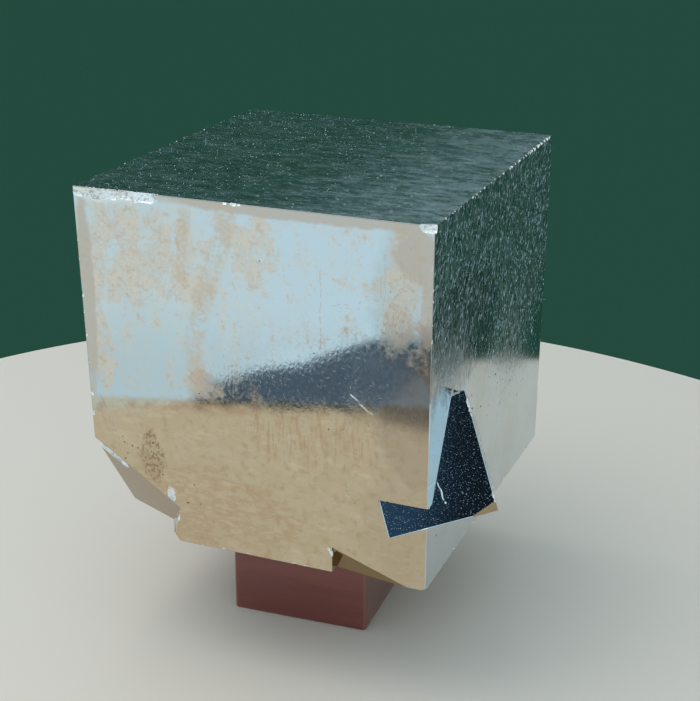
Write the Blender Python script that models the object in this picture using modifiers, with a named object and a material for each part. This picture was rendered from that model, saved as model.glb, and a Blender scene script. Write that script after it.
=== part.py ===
"""A natural pyrite cube standing on a small wooden block.

The cube is one crystal with flat faces and sharp edges. A smaller crystal has grown through its
front right edge, the lower left corner and the bottom edge keep the imprints of neighbours that
have gone, and small nicks and pits mark the edges and faces. Lengths are in metres and +Z is up.
The origin is the middle of the block's underside.
"""

import math
import random

import bmesh
import bpy
from mathutils import Euler, Matrix, Vector

MM = 0.001

# Driving dimensions of the cube. Its front is the face with the smaller x and z edges.
CUBE_WIDTH = 38.0 * MM
CUBE_DEPTH = 40.5 * MM
CUBE_HEIGHT = 37.5 * MM
LEFT_TAPER = 0.9 * MM
RIGHT_TAPER = 0.2 * MM
CUBE_EDGE_ROUND = 0.22 * MM

# The smaller crystal, placed by its lower right front corner as seen from the front.
TWIN_WIDTH = 11.0 * MM
TWIN_DEPTH = 12.0 * MM
TWIN_HEIGHT = 12.2 * MM
TWIN_CORNER = Vector((44.1, 2.8, 8.9)) * MM
TWIN_TURN = Euler((math.radians(-28.3), math.radians(-16.4), math.radians(22.7)), "XYZ")
TWIN_EDGE_ROUND = 0.12 * MM

# The front face ends in a thin ledge above the smaller crystal, at this height.
LEDGE_HEIGHT = 9.1 * MM

# The smaller crystal has lost a sliver of its lower right corner.
SLIVER_LENGTH = 2.5 * MM
SLIVER_HEIGHT = 0.8 * MM
SLIVER_DEPTH = 0.7 * MM

# Lower left corner: a flat imprint that meets the cube's three edges at these distances from the
# whole corner, and ends to the right in a leaning wall.
CORNER_REACH = Vector((16.7, 7.3, 10.9)) * MM
CORNER_WALL_POINT = Vector((10.6, 0.0, 3.95)) * MM
CORNER_WALL_NORMAL = Vector((0.849, 0.491, -0.193))

# Bottom front edge: a shallow imprint that starts at a small wall and runs out to the right.
WEDGE_REACH = Vector((36.0, 5.7, 12.5)) * MM
WEDGE_START = 27.8 * MM

# The block that the cube stands on, set a little askew.
BLOCK_SIDE = 15.8 * MM
BLOCK_HEIGHT = 13.3 * MM
BLOCK_EDGE_ROUND = 0.35 * MM
BLOCK_YAW = math.radians(2.9)
BLOCK_CENTRE = Vector((18.8, 18.6, 0.0)) * MM
REST_GAP = 0.3 * MM

# Nicks and pits
NICK_SEED = 7
NICKS_PER_EDGE = 4
PITS_PER_FACE = 5
NICK_SIZE = (0.5 * MM, 1.1 * MM)
PIT_SIZE = (0.5 * MM, 1.0 * MM)
PIT_FLATNESS = 0.3
CUTTER_MARGIN = 3.0 * MM


def clear_scene():
    for old in list(bpy.data.objects):
        bpy.data.objects.remove(old, do_unlink=True)


def new_collection(name):
    collection = bpy.data.collections.new(name)
    bpy.context.scene.collection.children.link(collection)
    return collection


def new_material(name, colour, metallic, roughness):
    material = bpy.data.materials.new(name)
    material.use_nodes = True
    shader = material.node_tree.nodes["Principled BSDF"]
    shader.inputs["Base Color"].default_value = (*colour, 1.0)
    shader.inputs["Metallic"].default_value = metallic
    shader.inputs["Roughness"].default_value = roughness
    return material


def add_object(name, solid, collection, parent, material=None):
    """Turns a bmesh into an object of the collection and frees it."""
    bmesh.ops.recalc_face_normals(solid, faces=solid.faces[:])
    mesh = bpy.data.meshes.new(name)
    solid.to_mesh(mesh)
    solid.free()
    obj = bpy.data.objects.new(name, mesh)
    obj.parent = parent
    if material:
        mesh.materials.append(material)
    collection.objects.link(obj)
    return obj


def as_cutter(obj):
    obj.hide_render = True
    obj.display_type = "WIRE"
    return obj


def box(low, high):
    """A bmesh box between two opposite corners."""
    low, high = Vector(low), Vector(high)
    place = Matrix.Translation((low + high) / 2) @ Matrix.Diagonal((*(high - low), 1.0))
    solid = bmesh.new()
    bmesh.ops.create_cube(solid, size=1.0, matrix=place)
    return solid


def trim(solid, point, normal):
    """Takes away what lies past a plane, on the side that its normal points to, and closes it."""
    everything = solid.verts[:] + solid.edges[:] + solid.faces[:]
    cut = bmesh.ops.bisect_plane(
        solid, geom=everything, plane_co=point, plane_no=normal, clear_outer=True
    )
    rim = [part for part in cut["geom_cut"] if isinstance(part, bmesh.types.BMEdge)]
    bmesh.ops.contextual_create(solid, geom=rim)


def plane_through(reach):
    """A point and the normal of the plane that meets the three axes at these distances."""
    normal = Vector((1 / reach.x, 1 / reach.y, 1 / reach.z)).normalized()
    return Vector((reach.x, 0, 0)), normal


def add_bevel(obj, width, segments):
    bevel = obj.modifiers.new("rounded edges", "BEVEL")
    bevel.width = width
    bevel.segments = segments
    bevel.limit_method = "ANGLE"
    return bevel


def add_boolean(obj, name, operation, cutter=None, collection=None):
    boolean = obj.modifiers.new(name, "BOOLEAN")
    boolean.operation = operation
    if collection:
        boolean.operand_type = "COLLECTION"
        boolean.collection = collection
    else:
        boolean.object = cutter
    return boolean


def cube_corner(x, y, z):
    """A corner of the cube for x, y and z of 0 or 1. The sides lean in a little towards the bottom."""
    left = 0.0 if z else LEFT_TAPER
    right = CUBE_WIDTH if z else CUBE_WIDTH - RIGHT_TAPER
    return Vector((right if x else left, y * CUBE_DEPTH, z * CUBE_HEIGHT))


def cube_body(collection, parent, material):
    """The cube before anything is cut from it or joined to it."""
    solid = box((0, 0, 0), (CUBE_WIDTH, CUBE_DEPTH, CUBE_HEIGHT))
    for vertex in solid.verts:
        x, y, z = (round(c / s) for c, s in zip(vertex.co, (CUBE_WIDTH, CUBE_DEPTH, CUBE_HEIGHT)))
        vertex.co = cube_corner(x, y, z)
    obj = add_object("pyrite_cube", solid, collection, parent, material)
    add_bevel(obj, CUBE_EDGE_ROUND, 2)
    return obj


def corner_imprint(cutters, parent):
    """The wedge that is missing from the lower left corner."""
    reach = CORNER_REACH
    outside = -CUTTER_MARGIN
    solid = box((outside, outside, outside), (reach.x, reach.y + CUTTER_MARGIN, reach.z + CUTTER_MARGIN))
    trim(solid, *plane_through(reach))
    trim(solid, CORNER_WALL_POINT, CORNER_WALL_NORMAL)
    return as_cutter(add_object("corner imprint", solid, cutters, parent))


def wedge_imprint(cutters, parent):
    """The sliver that is missing from the bottom front edge."""
    reach = WEDGE_REACH
    solid = box(
        (WEDGE_START, -CUTTER_MARGIN, -CUTTER_MARGIN),
        (CUBE_WIDTH + CUTTER_MARGIN, reach.y, reach.z),
    )
    trim(solid, *plane_through(reach))
    return as_cutter(add_object("wedge imprint", solid, cutters, parent))


def twin_frame():
    """The smaller crystal's own axes: x to the right, y into it and z up, from its corner."""
    return Matrix.Translation(TWIN_CORNER) @ TWIN_TURN.to_matrix().to_4x4()


def ledge_cut(cutters, parent):
    """What is missing of the cube in front of the smaller crystal, below the ledge."""
    overlap = 0.05 * MM
    solid = box((-TWIN_WIDTH, -CUTTER_MARGIN, -CUTTER_MARGIN), (0, overlap, TWIN_HEIGHT))
    bmesh.ops.transform(solid, matrix=twin_frame(), verts=solid.verts[:])
    trim(solid, Vector((0, 0, LEDGE_HEIGHT)), Vector((0, 0, 1)))
    return as_cutter(add_object("ledge cut", solid, cutters, parent))


def twin_body(cutters, parent):
    """The smaller crystal, which joins the cube."""
    solid = box((-TWIN_WIDTH, 0, 0), (0, TWIN_DEPTH, TWIN_HEIGHT))
    bmesh.ops.transform(solid, matrix=twin_frame(), verts=solid.verts[:])
    obj = as_cutter(add_object("twin crystal", solid, cutters, parent))
    add_bevel(obj, TWIN_EDGE_ROUND, 1)
    return obj


def sliver_cut(cutters, parent):
    """The sliver broken off the smaller crystal's lower right corner."""
    solid = box((-SLIVER_LENGTH, -MM, -MM), (MM, SLIVER_DEPTH + MM, SLIVER_HEIGHT + MM))
    across = Vector((0, 1 / SLIVER_DEPTH, 1 / SLIVER_HEIGHT)).normalized()
    trim(solid, Vector((0, SLIVER_DEPTH, 0)), across)
    bmesh.ops.transform(solid, matrix=twin_frame(), verts=solid.verts[:])
    return as_cutter(add_object("sliver cut", solid, cutters, parent))


def dent(name, centre, size, turn, cutters, parent):
    """A rough lump that bites a small hollow where it meets the crystal."""
    place = Matrix.Translation(centre) @ turn.to_matrix().to_4x4() @ Matrix.Diagonal((*size, 1.0))
    solid = bmesh.new()
    bmesh.ops.create_icosphere(solid, subdivisions=1, radius=0.5, matrix=place)
    return as_cutter(add_object(name, solid, cutters, parent))


def random_turn(rng):
    return Euler([rng.uniform(0, math.pi) for _ in range(3)], "XYZ")


def main_chips():
    """The chips that show from a step away: a place on the crystal, and how long, deep and high."""
    top = CUBE_HEIGHT
    twin_top = twin_frame() @ Vector((0, 0, TWIN_HEIGHT))
    return [
        ("chip on the upper right corner", Vector((CUBE_WIDTH, 0, top)), (1.5, 1.3, 1.0)),
        ("chip on the upper left corner", Vector((0, 0, top)), (1.1, 0.9, 1.3)),
        ("long chip on the top edge", Vector((3.4 * MM, 0, top)), (5.0, 0.7, 1.1)),
        ("second chip on the top edge", Vector((7.6 * MM, 0, top)), (3.2, 0.6, 0.8)),
        ("small chip on the top edge", Vector((16.6 * MM, 0, top)), (2.0, 0.7, 0.7)),
        ("chip on the upper back corner", Vector((CUBE_WIDTH, CUBE_DEPTH, top)), (1.2, 2.4, 1.0)),
        ("chip above the corner imprint", Vector((2.2, -0.1, 9.3)) * MM, (3.2, 1.2, 1.3)),
        ("chip beside the corner imprint", Vector((9.5, -0.1, 5.4)) * MM, (0.9, 0.7, 1.2)),
        ("chip below the corner wall", Vector((10.1, -0.1, 2.7)) * MM, (0.8, 0.8, 1.3)),
        ("chip at the wedge's start", Vector((27.5, -0.1, 2.4)) * MM, (0.6, 0.7, 1.5)),
        ("chip on the smaller crystal", twin_top, (1.6, 1.2, 1.0)),
    ]


def add_main_chips(cube, cutters, parent):
    for name, place, size in main_chips():
        turn = Euler((0.3, 0.2, 0.0), "XYZ")
        add_boolean(cube, name, "DIFFERENCE", dent(name, place, Vector(size) * MM, turn, cutters, parent))


def add_edge_nicks(rng, cutters, parent):
    """Small nicks along the cube's upper and upright edges, at uneven places."""
    corners = [(0, 0), (1, 0), (1, 1), (0, 1)]
    edges = [((*a, 1), (*b, 1)) for a, b in zip(corners, corners[1:] + corners[:1])]
    edges += [((*c, 0), (*c, 1)) for c in corners]
    middle = Vector((CUBE_WIDTH, CUBE_DEPTH, CUBE_HEIGHT)) / 2
    for first, last in edges:
        start, end = cube_corner(*first), cube_corner(*last)
        outward = ((start + end) / 2 - middle).normalized()
        for count in range(NICKS_PER_EDGE):
            size = rng.uniform(*NICK_SIZE)
            along = 0.33 + 0.6 * (count + rng.uniform(0.2, 0.8)) / NICKS_PER_EDGE
            place = start.lerp(end, along) + outward * size * 0.3
            stretch = Vector((1.0, rng.uniform(0.6, 1.0), rng.uniform(0.6, 1.0))) * size
            dent("nick", place, stretch, random_turn(rng), cutters, parent)


def add_face_pits(rng, cutters, parent):
    """Shallow pits, scattered on the top and the four upright faces."""
    faces = [(2, 1), (0, 0), (0, 1), (1, 0), (1, 1)]
    sizes = Vector((CUBE_WIDTH, CUBE_DEPTH, CUBE_HEIGHT))
    for axis, side in faces:
        for _ in range(PITS_PER_FACE):
            size = rng.uniform(*PIT_SIZE)
            place = Vector([rng.uniform(0.12, 0.88) * s for s in sizes])
            lean = LEFT_TAPER if (axis, side) == (0, 0) else RIGHT_TAPER
            height_left = 1 - place.z / CUBE_HEIGHT
            inward = lean * height_left if axis == 0 else 0.0
            place[axis] = sizes[axis] - inward if side else inward
            stretch = Vector((size, size, size))
            stretch[axis] *= PIT_FLATNESS
            dent("pit", place, stretch, Euler((0, 0, 0), "XYZ"), cutters, parent)


def stand_block(collection, material):
    """The square wooden block under the cube, its top just clear of the crystal."""
    half = BLOCK_SIDE / 2
    solid = box((-half, -half, 0), (half, half, BLOCK_HEIGHT))
    obj = add_object("stand_block", solid, collection, None, material)
    obj.rotation_euler.z = BLOCK_YAW
    add_bevel(obj, BLOCK_EDGE_ROUND, 2)
    return obj


def main():
    clear_scene()
    pieces = new_collection("pyrite cube on its block")
    shapes = new_collection("cutters")
    dents = new_collection("nicks and pits")

    pyrite = new_material("pyrite", (0.72, 0.62, 0.44), 1.0, 0.2)
    stained_wood = new_material("stained wood", (0.17, 0.045, 0.032), 0.0, 0.35)

    crystal = bpy.data.objects.new("crystal frame", None)
    crystal.location = Vector((0, 0, BLOCK_HEIGHT + REST_GAP)) - BLOCK_CENTRE
    pieces.objects.link(crystal)

    cube = cube_body(pieces, crystal, pyrite)
    add_boolean(cube, "corner imprint", "DIFFERENCE", corner_imprint(shapes, crystal))
    add_boolean(cube, "wedge imprint", "DIFFERENCE", wedge_imprint(shapes, crystal))
    add_boolean(cube, "ledge", "DIFFERENCE", ledge_cut(shapes, crystal))
    add_boolean(cube, "smaller crystal", "UNION", twin_body(shapes, crystal))
    add_boolean(cube, "sliver", "DIFFERENCE", sliver_cut(shapes, crystal))

    rng = random.Random(NICK_SEED)
    add_main_chips(cube, shapes, crystal)
    add_edge_nicks(rng, dents, crystal)
    add_face_pits(rng, dents, crystal)
    add_boolean(cube, "nicks and pits", "DIFFERENCE", collection=dents)

    stand_block(pieces, stained_wood)


main()
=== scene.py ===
# %% [markdown]
# # A pyrite cube on its block
#
# Pyrite grows as cubes with faces as flat as a mirror. This one carries a smaller crystal through
# its front right edge, has lost a corner and a sliver where other crystals leaned on it, and stands
# on a small block of stained wood. The packed model gives the frame that every piece sits in.

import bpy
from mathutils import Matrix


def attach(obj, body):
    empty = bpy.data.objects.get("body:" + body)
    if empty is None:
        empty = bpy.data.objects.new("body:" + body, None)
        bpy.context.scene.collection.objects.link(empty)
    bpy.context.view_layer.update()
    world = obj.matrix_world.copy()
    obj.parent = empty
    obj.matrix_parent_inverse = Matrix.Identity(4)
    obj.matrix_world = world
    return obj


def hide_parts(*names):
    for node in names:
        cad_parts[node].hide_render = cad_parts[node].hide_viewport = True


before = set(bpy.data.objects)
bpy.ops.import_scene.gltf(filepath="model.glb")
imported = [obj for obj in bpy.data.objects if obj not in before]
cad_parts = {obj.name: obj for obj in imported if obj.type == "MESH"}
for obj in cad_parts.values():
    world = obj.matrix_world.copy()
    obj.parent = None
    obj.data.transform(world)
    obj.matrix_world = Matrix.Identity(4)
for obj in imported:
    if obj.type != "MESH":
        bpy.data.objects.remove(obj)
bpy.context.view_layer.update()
print("nodes:", sorted(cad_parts))

# %% What the lesson uses
import math
import random

import bmesh
import bpy
import numpy as np
from mathutils import Euler, Matrix, Vector, noise
from mathutils.geometry import delaunay_2d_cdt

# %% [markdown]
# ## Measurements
#
# The crystal is drawn in millimetres in its own space: x runs along the front face, y into the
# cube and z up, from the lower left front corner. One matrix carries it into the frame at the end.
# Small solids are cut more exactly in millimetres than in metres.

# %% Measurements in millimetres
MM = 0.001
CUBE_WIDTH, CUBE_DEPTH, CUBE_HEIGHT = 38.0, 40.5, 37.5
LEFT_TAPER, RIGHT_TAPER = 0.9, 0.2
CUBE_EDGE_ROUND = 0.08
EDGE_SEGMENTS = 2

TWIN_WIDTH, TWIN_DEPTH, TWIN_HEIGHT = 11.0, 12.0, 12.2
TWIN_CORNER = Vector((44.1, 2.8, 8.9))
TWIN_TURN = Euler((math.radians(-28.3), math.radians(-16.4), math.radians(22.7)), "XYZ")
TWIN_EDGE_ROUND = 0.09
LEDGE_HEIGHT = 9.1

BLOCK_SIDE, BLOCK_HEIGHT, BLOCK_EDGE_ROUND = 15.8, 13.3, 0.35
BLOCK_YAW = math.radians(2.9)
BLOCK_CENTRE = Vector((18.8, 18.6, 0.0))
REST_GAP = 0.3

# From the crystal's own origin to the middle of the block's foot.
crystal_shift = Vector((0, 0, BLOCK_HEIGHT + REST_GAP)) - BLOCK_CENTRE
crystal_place = Matrix.Scale(MM, 4) @ Matrix.Translation(crystal_shift)
print("cube's lower left front corner in the frame:", crystal_place @ Vector((0, 0, 0)))

# %% [markdown]
# ## Tools for flat-faced solids
#
# Every shape on a crystal is bounded by planes, so a few small tools are enough: a box, a cut by a
# plane, a solid cut from another, and edges that are rounded a little.

# %% Boxes, cuts and bevels
def box(low, high):
    low, high = Vector(low), Vector(high)
    place = Matrix.Translation((low + high) / 2) @ Matrix.Diagonal((*(high - low), 1.0))
    solid = bmesh.new()
    bmesh.ops.create_cube(solid, size=1.0, matrix=place)
    return solid


def trim(solid, point, normal):
    everything = solid.verts[:] + solid.edges[:] + solid.faces[:]
    cut = bmesh.ops.bisect_plane(
        solid, geom=everything, plane_co=point, plane_no=normal, clear_outer=True
    )
    rim = [part for part in cut["geom_cut"] if isinstance(part, bmesh.types.BMEdge)]
    bmesh.ops.contextual_create(solid, geom=rim)


# A face's slot says how it came about, until the masks take over.
SLOTS = 4
GROWN, BROKEN, PITTED, SMOOTH_BREAK = range(SLOTS)


def as_object(name, solid, slot=GROWN):
    bmesh.ops.recalc_face_normals(solid, faces=solid.faces[:])
    for face in solid.faces:
        face.material_index = slot
    mesh = bpy.data.meshes.new(name)
    solid.to_mesh(mesh)
    solid.free()
    for _ in range(SLOTS):
        mesh.materials.append(None)
    obj = bpy.data.objects.new(name, mesh)
    bpy.context.scene.collection.objects.link(obj)
    return obj


def discard(obj):
    data = obj.data
    bpy.data.objects.remove(obj, do_unlink=True)
    bpy.data.meshes.remove(data)


def settle(obj):
    """Works out the modifiers and leaves a plain mesh."""
    bpy.context.view_layer.update()
    graph = bpy.context.evaluated_depsgraph_get()
    plain = bpy.data.meshes.new_from_object(obj.evaluated_get(graph))
    obj.modifiers.clear()
    old = obj.data
    obj.data = plain
    bpy.data.meshes.remove(old)
    return obj


def combine(obj, operation, other):
    boolean = obj.modifiers.new("combine", "BOOLEAN")
    boolean.operation = operation
    boolean.object = other
    return settle(obj)


def cut_away(obj, solid, name, slot=GROWN):
    """Cuts a solid out of an object and lets the solid go."""
    other = as_object(name, solid, slot)
    combine(obj, "DIFFERENCE", other)
    discard(other)


def bevelled(obj, width, segments):
    bevel = obj.modifiers.new("edges", "BEVEL")
    bevel.width = width
    bevel.segments = segments
    bevel.limit_method = "ANGLE"
    return settle(obj)


# %% [markdown]
# ## The big cube and the imprints in it
#
# The side faces lean in a little towards the foot, as they do on the real crystal. Where another
# crystal grew against this one and later fell away, a flat imprint is left. One takes the lower
# left corner and ends in a small wall, the other runs out along the bottom front edge.

# %% The big cube, the corner imprint and the wedge
def plane_through(x, y, z):
    """A point and the outward normal of the plane that meets the axes at these distances."""
    return Vector((x, 0, 0)), Vector((1 / x, 1 / y, 1 / z)).normalized()


CORNER_ALONG, CORNER_INWARD, CORNER_UP = 16.7, 7.3, 10.9
CORNER_PLANE = plane_through(CORNER_ALONG, CORNER_INWARD, CORNER_UP)
CORNER_WALL = Vector((10.6, 0.0, 3.95)), Vector((0.849, 0.491, -0.193)).normalized()
WEDGE_START, WEDGE_ALONG, WEDGE_INWARD, WEDGE_UP = 27.8, 36.0, 5.7, 12.5
WEDGE_PLANE = plane_through(WEDGE_ALONG, WEDGE_INWARD, WEDGE_UP)
MARGIN = 3.0

solid = box((0, 0, 0), (CUBE_WIDTH, CUBE_DEPTH, CUBE_HEIGHT))
for vertex in solid.verts:
    if vertex.co.z < CUBE_HEIGHT / 2:
        vertex.co.x += LEFT_TAPER if vertex.co.x < CUBE_WIDTH / 2 else -RIGHT_TAPER
crystal = bevelled(as_object("crystal", solid), CUBE_EDGE_ROUND, EDGE_SEGMENTS)

corner = box((-MARGIN, -MARGIN, -MARGIN), (CORNER_ALONG, CORNER_INWARD + MARGIN, CORNER_UP + MARGIN))
trim(corner, *CORNER_PLANE)
trim(corner, *CORNER_WALL)
cut_away(crystal, corner, "corner")
wedge = box((WEDGE_START, -MARGIN, -MARGIN), (CUBE_WIDTH + MARGIN, WEDGE_INWARD, WEDGE_UP))
trim(wedge, *WEDGE_PLANE)
cut_away(crystal, wedge, "wedge")
print("faces after the imprints:", len(crystal.data.polygons))

# %% Worn corners of the foot
# A point on each flat, the way that it faces and its size.
WORN_CORNERS = [
    (Vector((9.95, 0, 0.6)), Vector((-0.75, -0.1, -0.65)), 1.6),
    (Vector((37.75, 0, 0.32)), Vector((0.38, -0.65, -0.66)), 2.6),
]
for spot, outward, reach in WORN_CORNERS:
    worn = box((-reach, -reach, 0), (reach, reach, reach))
    facing = outward.to_track_quat("Z", "Y").to_matrix().to_4x4()
    bmesh.ops.transform(worn, matrix=Matrix.Translation(spot) @ facing, verts=worn.verts[:])
    cut_away(crystal, worn, "worn corner")
print("faces after the worn corners:", len(crystal.data.polygons))

# %% [markdown]
# ## The smaller crystal
#
# The second cube is turned, so only its lower right corner stands clear of the big one. Its front
# looks straight back at the viewer, which makes it the darkest place on the specimen. The big
# cube's front ends in a thin ledge over it.

# %% The smaller crystal and the ledge over it
twin_place = Matrix.Translation(TWIN_CORNER) @ TWIN_TURN.to_matrix().to_4x4()
twin_right, twin_inward, twin_up = (Vector(column) for column in TWIN_TURN.to_matrix().transposed())


def turned_box(low, high):
    """A box in the smaller crystal's own directions, counted from its lower right front corner."""
    solid = box(low, high)
    bmesh.ops.transform(solid, matrix=twin_place, verts=solid.verts[:])
    return solid


# The hollow under the ledge stops just short of the small crystal's foot and just inside its
# front, so that no two faces fall in one plane.
SHORT_OF_FOOT, INSIDE_FRONT = 0.03, 0.05
hollow = turned_box((-TWIN_WIDTH, -MARGIN, SHORT_OF_FOOT), (0, INSIDE_FRONT, TWIN_HEIGHT))
trim(hollow, Vector((0, 0, LEDGE_HEIGHT)), Vector((0, 0, 1)))
cut_away(crystal, hollow, "hollow under the ledge")

solid = turned_box((-TWIN_WIDTH, 0, 0), (0, TWIN_DEPTH, TWIN_HEIGHT))
twin = bevelled(as_object("twin", solid), TWIN_EDGE_ROUND, EDGE_SEGMENTS)
combine(crystal, "UNION", twin)
discard(twin)
print("the smaller crystal's right side looks along", tuple(round(c, 2) for c in twin_right))

# %% The broken lower corner of the smaller crystal
# A thin wedge is gone. Its cutter reaches past the crystal's faces by some room.
SLIVER = Vector((2.7, 1.0, 0.95))
ROOM = 1.0
sliver = box((-SLIVER.x - ROOM, -ROOM, -ROOM), (ROOM, SLIVER.y + ROOM, SLIVER.z + ROOM))
break_normal = Vector((-1 / SLIVER.x, 1 / SLIVER.y, 1 / SLIVER.z)).normalized()
trim(sliver, Vector((0, SLIVER.y, 0)), break_normal)
bmesh.ops.transform(sliver, matrix=twin_place, verts=sliver.verts[:])
cut_away(crystal, sliver, "sliver", SMOOTH_BREAK)
print("faces of the two crystals:", len(crystal.data.polygons))

# %% [markdown]
# ## Chips, nicks and pits
#
# Pyrite is brittle. Its edges lose small flakes and the fresh breaks are pale and rough. The worst
# of it is the band at the upper left, both upper corners and the rim of the corner imprint. Pits
# are tiny hollows that the crystal grew around, and they gather in patches.

# %% Lumps that bite
rng = random.Random(41)
LUMP_SWELL, LUMP_PATTERN = 0.35, 2.5
PATTERN_REACH = 50


def rough_lump(lumps, centre, size, turn, detail=2):
    """Adds a lump with an uneven skin, to bite a hollow out of the crystal."""
    place = Matrix.Translation(centre) @ turn.to_4x4() @ Matrix.Diagonal((*size, 1.0))
    made = bmesh.ops.create_icosphere(lumps, subdivisions=detail, radius=0.5)["verts"]
    offset = Vector([rng.uniform(-PATTERN_REACH, PATTERN_REACH) for _ in range(3)])
    for vertex in made:
        vertex.co *= 1 + LUMP_SWELL * noise.noise(vertex.co * LUMP_PATTERN + offset)
    bmesh.ops.transform(lumps, matrix=place, verts=made)


def volume_of(mesh):
    """The volume of a mesh with a closed skin and no doubled faces. Any other mesh has none."""
    shape = bmesh.new()
    shape.from_mesh(mesh)
    closed = all(len(edge.link_faces) == 2 for edge in shape.edges)
    corner_sets = {frozenset(vertex.index for vertex in face.verts) for face in shape.faces}
    sound = closed and len(corner_sets) == len(shape.faces)
    volume = shape.calc_volume() if sound else 0.0
    shape.free()
    return volume


TRIES, HAIR, KEPT_SHARE = 8, 0.1, 0.999


def bite(crystal, lumps, slot, title):
    """Cuts a group of lumps at once. A cut that spoils the skin is made again with the lumps moved
    by a hair."""
    cutter = as_object("lumps", lumps, slot)
    whole = crystal.data.copy()
    least_volume = volume_of(whole) * KEPT_SHARE
    for _ in range(TRIES):
        combine(crystal, "DIFFERENCE", cutter)
        if volume_of(crystal.data) > least_volume:
            break
        crystal.data = whole.copy()
        cutter.location = Vector([rng.uniform(-HAIR, HAIR) for _ in range(3)])
    else:
        print("left uncut:", title)
    bpy.data.meshes.remove(whole)
    discard(cutter)


print("volume before the chips in cubic millimetres:", round(volume_of(crystal.data)))

# %% Chips along the edges
twin_top_corner = TWIN_CORNER + twin_up * TWIN_HEIGHT


def beside_twin_top(along, down):
    return twin_top_corner - twin_right * along - twin_up * down


# Each run of chips goes from one point to another, with its number, its size and how flat it is.
CHIP_RUNS = [
    ("upper left band", (0.3, 0.05, 36.9), (8.4, 0.05, 37.2), 9, 1.4, 0.22),
    ("top edge", (16.6, 0, 37.5), (18.6, 0, 37.5), 3, 0.6, 0.8),
    ("upper right corner", (36.7, 0, 37.4), (37.9, 0.2, 37.3), 3, 1.0, 0.8),
    ("upper back right edge", (38, 24, 37.5), (38, 39.8, 37.5), 16, 0.42, 0.9),
    ("upper right edge", (38, 2, 37.5), (38, 24, 37.5), 14, 0.3, 0.9),
    ("rim of the corner imprint", (0.8, 0.6, 9.65), (3.6, 0.6, 7.65), 6, 1.8, 0.9),
    ("small crystal's top", beside_twin_top(0.2, 0), beside_twin_top(2.4, 0), 5, 0.75, 0.8),
    ("small crystal's edge above", beside_twin_top(0, 0.5), beside_twin_top(0, 2.6), 5, 0.42, 0.9),
    (
        "small crystal's edge below", TWIN_CORNER + twin_up * 0.7, TWIN_CORNER + twin_up * 2.0,
        3, 0.4, 0.9,
    ),
    ("ledge", (33.3, 0, 9.05), (35.2, 0, 8.9), 3, 0.35, 0.9),
    ("beside the corner imprint", (9.5, 0, 5.8), (9.7, 0, 5.0), 2, 0.9, 0.6),
    ("foot of the corner wall", (10.1, 0, 3.0), (10.1, 0, 2.6), 1, 1.0, 0.7),
    ("start of the wedge", (27.2, 0, 2.9), (28.0, 0, 1.9), 2, 0.5, 0.8),
    ("left edge", (0.1, 0, 33.0), (0.8, 0, 12.0), 8, 0.3, 0.9),
    ("right edge", (38, 0, 33.0), (38, 0, 25.0), 4, 0.3, 0.9),
    ("back right edge", (38, 40.5, 34.0), (37.8, 40.5, 6.0), 7, 0.5, 0.9),
    ("back left edge", (0, 40.5, 36.0), (0.8, 40.5, 5.0), 7, 0.6, 0.9),
    ("top left edge", (0, 3.0, 37.5), (0, 38.0, 37.5), 9, 0.5, 0.9),
    ("top back edge", (2.0, 40.5, 37.5), (36.0, 40.5, 37.5), 9, 0.6, 0.9),
    ("bottom edge", (12.5, 0, 0), (26.5, 0, 0), 6, 0.5, 0.9),
    ("bottom right edge", (37.8, 3.0, 0), (37.8, 38.0, 0), 7, 0.6, 0.9),
    ("bottom back edge", (3.0, 40.5, 0), (35.0, 40.5, 0), 7, 0.7, 0.9),
    ("bottom left edge", (0.9, 10.0, 0), (0.9, 38.0, 0), 6, 0.7, 0.9),
]
# The lumps of a run overlap their neighbours, so they are cut in waves that leave some out.
WAVES = 3
STEP_RANGE, SIZE_RANGE, STRETCH_RANGE = (0.15, 0.85), (0.5, 1.3), (1.0, 2.0)
SWAY = (0.4, 0.3, 0.15)
for title, start, end, count, size, flatness in CHIP_RUNS:
    start, end = Vector(start), Vector(end)
    lengthwise = Vector((1, 0, 0)).rotation_difference(end - start).to_matrix()
    for wave in range(min(WAVES, count)):
        lumps = bmesh.new()
        for step in range(wave, count, WAVES):
            along = (step + rng.uniform(*STEP_RANGE)) / count
            s = size * rng.uniform(*SIZE_RANGE)
            sway = Euler([rng.uniform(-most, most) for most in SWAY], "XYZ")
            scale = Vector((s * rng.uniform(*STRETCH_RANGE), s * flatness, s))
            rough_lump(lumps, start.lerp(end, along), scale, lengthwise @ sway.to_matrix())
        bite(crystal, lumps, BROKEN, title)
print("faces after the chips:", len(crystal.data.polygons))

# %% Pits
# Pits on the front come in two patches by the corner imprint; the others are scattered. Each row
# has the face, the middle of the patch, how far it spreads, the number of pits and their size.
PIT_PATCHES = [
    ("front", (4.6, 10.4), (1.2, 2.2), 7, 0.17),
    ("front", (7.9, 9.3), (1.2, 2.2), 14, 0.16),
    ("front", (20, 24), (14, 12), 7, 0.15),
    ("front", (14, 4), (7, 3), 7, 0.17),
    ("right", (3.0, 4.7), (0.6, 0.5), 1, 0.4),
    ("right", (20, 18), (17, 16), 18, 0.28),
    ("top", (19, 20), (17, 18), 26, 0.3),
    ("left", (20, 20), (17, 15), 18, 0.35),
    ("back", (19, 18), (16, 16), 20, 0.35),
]
FACE_SPOT = {
    "front": lambda a, b: (a, 0, b),
    "right": lambda a, b: (CUBE_WIDTH - RIGHT_TAPER * (1 - b / CUBE_HEIGHT), a, b),
    "left": lambda a, b: (LEFT_TAPER * (1 - b / CUBE_HEIGHT), a, b),
    "back": lambda a, b: (a, CUBE_DEPTH, b),
    "top": lambda a, b: (a, b, CUBE_HEIGHT),
}
GATHERED, FARTHEST = 0.55, 1.6
PIT_RANGE = (0.6, 1.3)


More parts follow.
